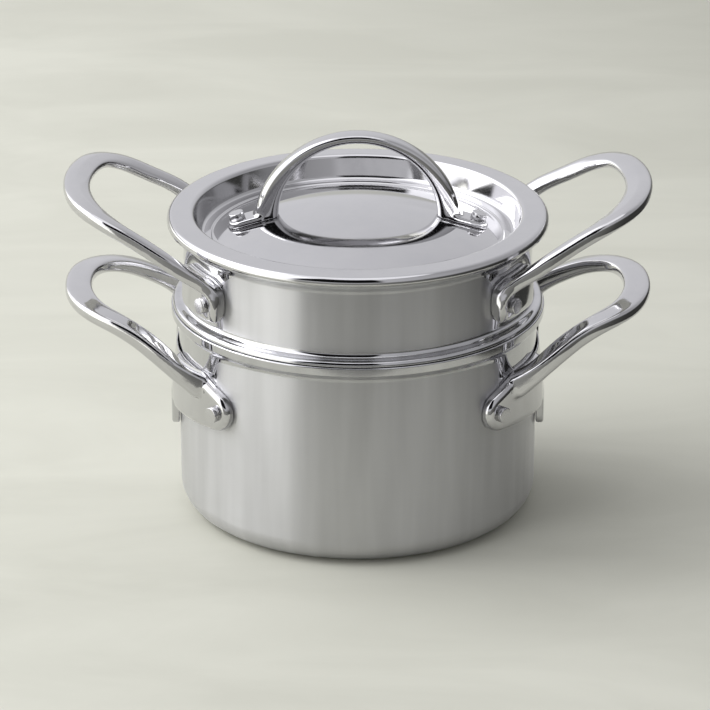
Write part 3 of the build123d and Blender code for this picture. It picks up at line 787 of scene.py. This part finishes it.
class BOILER_OT_pot_handles(bpy.types.Operator):
    """Cast the pot's two loop handles: two feet, a bridge with a tongue, and the loop"""
    bl_idname = "boiler.pot_handles"
    bl_label = "Pot handles"

    def execute(self, context):
        s, pot = context.scene.boiler_loops, context.scene.boiler_pot
        seat = pot.inner_radius + pot.wall
        face = seat + s.foot_thickness
        root_side = face * math.sin(s.pot_rivet_angle - s.pot_root_angle)
        inner, corner = s.pot_foot_span - s.foot_corner, s.foot_corner
        root_round = s.pot_root_thickness / 2 - 0.4 * MM
        foot = [(s.pot_lobe_shift, 0, s.pot_lobe), (root_side, s.pot_root_rise, root_round),
                (inner, s.pot_foot_rise - corner, corner), (inner, corner - s.pot_foot_drop, corner)]
        for name, turned in SIDES:
            bm = bmesh.new()
            add_feet(bm, foot, seat, s.pot_rivet_angle, s.pot_rivet_height)
            on_wall = wall_follower(0, seat + s.bridge_gap, s.pot_rivet_height)

            def sloped(point):
                rise = (point.y + s.pot_foot_drop) / (s.pot_foot_rise + s.pot_foot_drop)
                return on_wall(Vector((point.x, point.y, point.z * (1 - s.bridge_lean * rise))))

            ease, edge = 1.2 * MM, 0.6 * MM
            band = [(x, y, ease) for x in (-s.bridge_span, s.bridge_span)
                    for y in (s.pot_foot_rise - ease, ease - s.pot_foot_drop)]
            add_plate(bm, band, s.bridge_thickness, edge, sloped)
            tip, half = s.tongue_corner, s.tongue_width / 2
            tongue = [(x, y, tip) for x in (tip - half, half - tip)
                      for y in (-s.pot_foot_drop, tip - s.pot_foot_drop - s.tongue_drop)]
            add_plate(bm, tongue, s.bridge_thickness, edge, on_wall)
            root = leg_root(face, s.pot_root_angle, s.pot_rivet_height + s.pot_root_rise)
            loop_bar(bm, POT_LOOP_SHARES, root, s.pot_loop_reach, s.pot_rivet_height + s.pot_loop_rise,
                     (s.pot_root_width, s.pot_root_thickness), s.pot_leg_thickness, [])
            cast_loop(bm, "pot", name, turned)
        return {"FINISHED"}


class BOILER_OT_insert_handles(bpy.types.Operator):
    """Cast the insert's two loop handles: two small feet and the loop"""
    bl_idname = "boiler.insert_handles"
    bl_label = "Insert handles"

    def execute(self, context):
        s, insert = context.scene.boiler_loops, context.scene.boiler_insert
        seat = insert.inner_radius + insert.wall
        face = seat + s.foot_thickness
        root_side = face * math.sin(s.insert_rivet_angle - s.insert_root_angle)
        inner, corner = s.insert_foot_span - s.foot_corner, s.foot_corner
        front = s.insert_lobe + s.insert_lobe_shift - s.insert_shoulder
        foot = [(-s.insert_lobe_shift, 0, s.insert_lobe),
                (-front, s.insert_shoulder_rise, s.insert_shoulder),
                (root_side, s.insert_foot_rise - s.insert_shoulder, s.insert_shoulder),
                (inner, s.insert_foot_rise - corner, corner), (inner, corner - s.insert_lobe, corner)]
        for name, turned in SIDES:
            bm = bmesh.new()
            follow = add_feet(bm, foot, seat, s.insert_rivet_angle, s.insert_rivet_height)
            hook = [follow(Vector(place) * MM) for place in INSERT_HOOK]
            root = leg_root(face, s.insert_root_angle, s.insert_rivet_height + s.insert_root_rise)
            loop_bar(bm, INSERT_LOOP_SHARES, root, s.insert_loop_reach,
                     s.insert_rivet_height + s.insert_loop_rise,
                     (s.insert_root_width, s.insert_root_thickness), s.insert_leg_thickness, hook)
            cast_loop(bm, "insert", name, turned)
        return {"FINISHED"}


class BOILER_OT_rivets(bpy.types.Operator):
    """Turn the rivets: a drum head outside, a shank and a flat head inside"""
    bl_idname = "boiler.rivets"
    bl_label = "Rivets"

    def rivet(self, name, body, seat, outward, grip, button):
        """One rivet whose outer head sits on a seat, with the flat inner head a grip further in."""
        s = bpy.context.scene.boiler_rivets
        bm = lathe([
            (0, s.head_height, 0), (s.head_radius, s.head_height, s.head_round), (s.head_radius, 0, 0),
            (s.shank_radius, 0, 0), (s.shank_radius, -grip, 0), (button, -grip, 0),
            (button, -grip - s.inner_height, s.inner_round), (0, -grip - s.inner_height, 0),
        ])
        place = Matrix.Translation(seat) @ outward.to_track_quat("Z", "Y").to_matrix().to_4x4()
        bmesh.ops.transform(bm, matrix=place, verts=bm.verts[:])
        finish_piece(bm, name + "_pin", shared("Stainless_steel_tumbled", tumbled_steel), body, [name])

    def execute(self, context):
        scene = context.scene
        loops, rivets, lid = scene.boiler_loops, scene.boiler_rivets, scene.boiler_lid
        pot, insert = scene.boiler_pot, scene.boiler_insert
        for body, wall, angle, height in (
                ("pot", pot, loops.pot_rivet_angle, loops.pot_rivet_height),
                ("insert", insert, loops.insert_rivet_angle, loops.insert_rivet_height)):
            face = wall.inner_radius + wall.wall + loops.foot_thickness
            grip = face - math.sqrt(wall.inner_radius ** 2 - rivets.inner_radius ** 2)
            for corner, sign in CORNER_SIGNS.items():
                turned = sign * angle + (math.pi if corner.startswith("left") else 0)
                outward = Vector((math.cos(turned), math.sin(turned), 0))
                self.rivet(f"{body}_rivet_{corner}", body, outward * face + Vector((0, 0, height)), outward,
                           grip, rivets.inner_radius)
        centre = dome_centre(lid)[0]
        reach = lid.dome_radius + lid.foot_thickness
        grip = reach - math.sqrt((lid.dome_radius - lid.gauge) ** 2 - rivets.lid_inner_radius ** 2)
        tilt = math.asin(lid.rivet_reach / lid.dome_radius)
        for side, sign in (("right", 1), ("left", -1)):
            outward = Vector((sign * math.sin(tilt), 0, math.cos(tilt)))
            self.rivet("lid_rivet_" + side, "lid", Vector((0, 0, centre)) + outward * reach, outward, grip,
                       rivets.lid_inner_radius)
        return {"FINISHED"}


class BOILER_OT_stage(bpy.types.Operator):
    """Lay the plaster floor, light it from the left and set the camera"""
    bl_idname = "boiler.stage"
    bl_label = "Stage"

    def execute(self, context):
        bm = bmesh.new()
        bmesh.ops.create_grid(bm, x_segments=8, y_segments=8, size=FLOOR_REACH)
        floor = add_mesh("floor", bm, trowelled_plaster())
        self.world(context)
        lamp = bpy.data.lights.new("key_window", "AREA")
        lamp.shape, lamp.size, lamp.energy = "SQUARE", WINDOW_SIZE, WINDOW_POWER
        window = add_object("key_window", lamp)
        window.location = WINDOW_PLACE
        aim = Vector((0, 0, 80 * MM)) - Vector(WINDOW_PLACE)
        window.rotation_euler = aim.to_track_quat("-Z", "Y").to_euler()
        camera = bpy.data.cameras.new("camera")
        camera.lens, camera.sensor_width = CAMERA_LENS, 36
        camera.clip_start, camera.clip_end = 0.1, 50
        eye = add_object("camera", camera)
        eye.location = CAMERA_PLACE
        eye.rotation_euler = (math.radians(90 - CAMERA_TILT), 0, 0)
        context.scene.camera = eye
        context.scene.view_settings.view_transform = "Standard"
        return {"FINISHED"}

    def world(self, context):
        """A studio: a tall bright panel on the left, a pale wall behind, a dark gap in front."""
        world = bpy.data.worlds.new("Studio")
        context.scene.world = world
        world.use_nodes = True
        tree = world.node_tree
        tree.nodes.clear()
        calc = partial(calculate, tree)
        towards = add_node(tree, "TexCoord").outputs["Generated"]
        parts = add_node(tree, "SeparateXYZ", inputs={"Vector": towards}).outputs
        around = calc("ARCTAN2", parts["X"], calc("MULTIPLY", parts["Y"], -1.0))
        raised = calc("ARCSINE", parts["Z"])
        room = self.tones(tree, around, 180, LOW_TONES, 0.94)
        # Degrees of height over which the next tones, and last the ceiling, take over
        for start, end, tones in ((6, 8, self.tones(tree, around, 180, LEDGE_TONES)),
                                  (14, 15.5, self.tones(tree, around, 180, HIGH_TONES)),
                                  (67, 70, (1.25, 1.25, 1.30, 1))):
            room = blend(tree, self.tones(tree, raised, 90, [(start, 0.0), (end, 1.0)]), room, tones)
        # The camera sees a plaster tone past the floor's far edge
        seen = blend(tree, add_node(tree, "LightPath").outputs["Is Camera Ray"], room,
                     linear("#D0D0C5"))
        background = add_node(tree, "Background", inputs={"Color": seen})
        output = add_node(tree, "OutputWorld")
        tree.links.new(background.outputs["Background"], output.inputs["Surface"])

    def tones(self, tree, angle, reach, stops, blue=1.04):
        """A ramp of nearly neutral tones over an angle between minus and plus a reach, in degrees."""
        share = spread(tree, angle, 0.0, 1.0, math.radians(-reach), math.radians(reach))
        ramp = add_node(tree, "ValToRGB", inputs={"Fac": share})
        elements = ramp.color_ramp.elements
        while len(elements) < len(stops):
            elements.new(0.5)
        for element, (degrees, tone) in zip(elements, stops):
            element.position = (degrees + reach) / (2 * reach)
            element.color = (tone, tone, tone * blue, 1)
        return ramp.outputs["Color"]


GROUPS = {
    "boiler_pot": PotSizes, "boiler_insert": InsertSizes, "boiler_lid": LidSizes,
    "boiler_loops": LoopSizes, "boiler_rivets": RivetSizes, "boiler_finishes": Finishes,
    "boiler_fineness": Fineness,
}
STEPS = (BOILER_OT_pot, BOILER_OT_insert, BOILER_OT_lid, BOILER_OT_lid_handle, BOILER_OT_pot_handles,
         BOILER_OT_insert_handles, BOILER_OT_rivets, BOILER_OT_stage)


class BOILER_PT_sidebar(bpy.types.Panel):
    """Lists the steps that build the double boiler and the values that they use"""
    bl_label = "Double boiler"
    bl_space_type = "VIEW_3D"
    bl_region_type = "UI"
    bl_category = "Double boiler"

    def draw(self, context):
        for step in STEPS:
            self.layout.operator(step.bl_idname)
        for group in GROUPS:
            box = self.layout.box()
            settings = getattr(context.scene, group)
            for name in settings.bl_rna.properties.keys():
                if name not in ("rna_type", "name"):
                    box.prop(settings, name)


def register():
    """Register the settings, the steps and the panel."""
    for attribute, group in GROUPS.items():
        bpy.utils.register_class(group)
        setattr(bpy.types.Scene, attribute, PointerProperty(type=group))
    for step in STEPS + (BOILER_PT_sidebar,):
        bpy.utils.register_class(step)


def unregister():
    """Take the panel, the steps and the settings out again."""
    for step in (BOILER_PT_sidebar,) + STEPS[::-1]:
        bpy.utils.unregister_class(step)
    for attribute, group in reversed(GROUPS.items()):
        delattr(bpy.types.Scene, attribute)
        bpy.utils.unregister_class(group)


def main():
    """Build every piece and the stage."""
    register()
    for step in (bpy.ops.boiler.pot, bpy.ops.boiler.insert, bpy.ops.boiler.lid, bpy.ops.boiler.lid_handle,
                 bpy.ops.boiler.pot_handles, bpy.ops.boiler.insert_handles, bpy.ops.boiler.rivets,
                 bpy.ops.boiler.stage):
        step()


if __name__ == "__main__":
    main()
